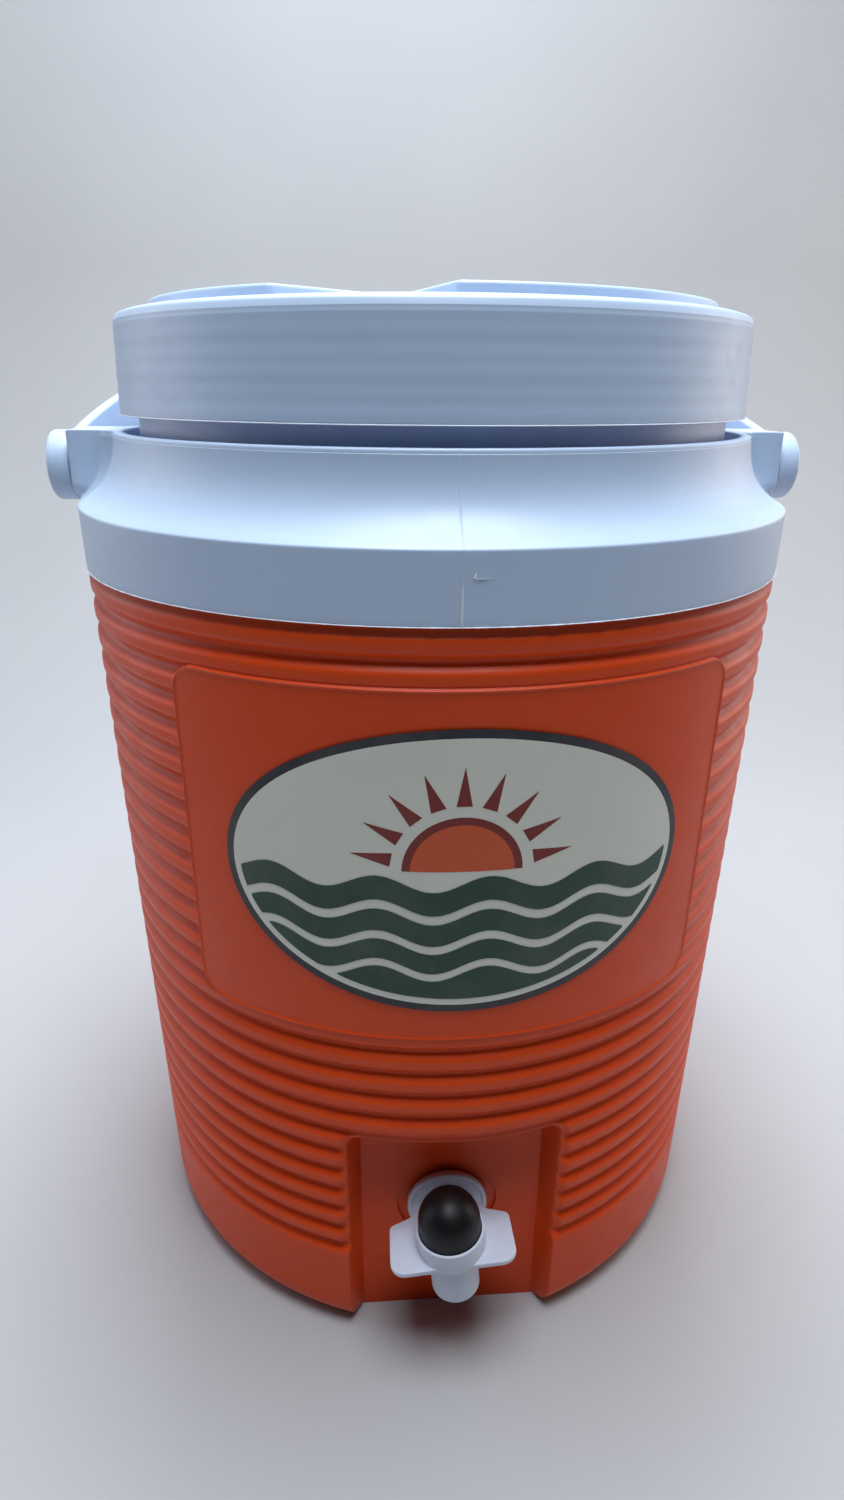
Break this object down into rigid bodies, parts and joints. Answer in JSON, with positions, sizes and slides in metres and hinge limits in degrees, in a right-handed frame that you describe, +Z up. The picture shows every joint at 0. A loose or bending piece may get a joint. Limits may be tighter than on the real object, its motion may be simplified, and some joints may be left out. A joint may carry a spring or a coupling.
{
  "type": "insulated drink cooler",
  "caption": "Round ribbed insulated drink cooler with a screw lid, a swinging bail handle and a push-button spigot in a front recess.",
  "frame": {"origin": "centre of the round base, on the surface that the foot ring stands on", "axes": "+Z up along the body's axis, -Y to the front with the spigot, +X to the right seen from the front; both handle pivots lie along X"},
  "size_m": [0.272, 0.2986, 0.358],
  "materials": {
    "orange_shell": "moulded ribbed polyethylene, soft satin sheen",
    "foam": "cut rigid insulating foam",
    "white_liner": "smooth moulded polypropylene",
    "label_film": "thin printed film, soft gloss",
    "pale_blue_plastic": "smooth moulded polyethylene, soft satin sheen",
    "seal_rubber": "moulded black seal rubber",
    "black_plastic": "moulded black plastic, semi-gloss",
    "spring_steel": "drawn spring wire"
  },
  "bodies": {
    "cooler_body": {"outer_shell": "orange_shell", "body_foam": "foam", "inner_liner": "white_liner", "collar": "pale_blue_plastic", "label_decal": "label_film", "handle_pin_left": "pale_blue_plastic", "handle_pin_right": "pale_blue_plastic", "spigot_body": "pale_blue_plastic", "spigot_outer_washer": "seal_rubber", "spigot_inner_washer": "seal_rubber", "spigot_nut": "pale_blue_plastic", "spigot_stem_oring": "seal_rubber", "spigot_spring": "spring_steel"},
    "lid_seal": {"lid_gasket": "seal_rubber"},
    "lid": {"lid_cap": "pale_blue_plastic", "lid_inner_plate": "white_liner", "lid_foam": "foam"},
    "handle": {"bail_handle": "pale_blue_plastic"},
    "tap_button": {"spigot_button": "black_plastic", "spigot_stem": "white_liner", "spigot_valve_seal": "seal_rubber"}
  },
  "joints": [
    {"name": "lid_lift", "type": "slide", "parent": "cooler_body", "child": "lid_seal", "axis": [0, 0, 1], "range_m": [0, 0.2]},
    {"name": "lid_turn", "type": "hinge", "parent": "lid_seal", "child": "lid", "pos_m": [0, 0, 0.34], "axis": [0, 0, 1], "range_deg": [-45, 0]},
    {"name": "handle_swing", "type": "hinge", "parent": "cooler_body", "child": "handle", "pos_m": [0, 0, 0.306], "axis": [1, 0, 0], "range_deg": [0, 151.2]},
    {"name": "button_press", "type": "slide", "parent": "cooler_body", "child": "tap_button", "axis": [0.0958, 0, -0.9954], "range_m": [0, 0.004], "stiffness_N_per_m": 900, "springref_m": -0.003, "deforming": ["spigot_spring"]}
  ]
}
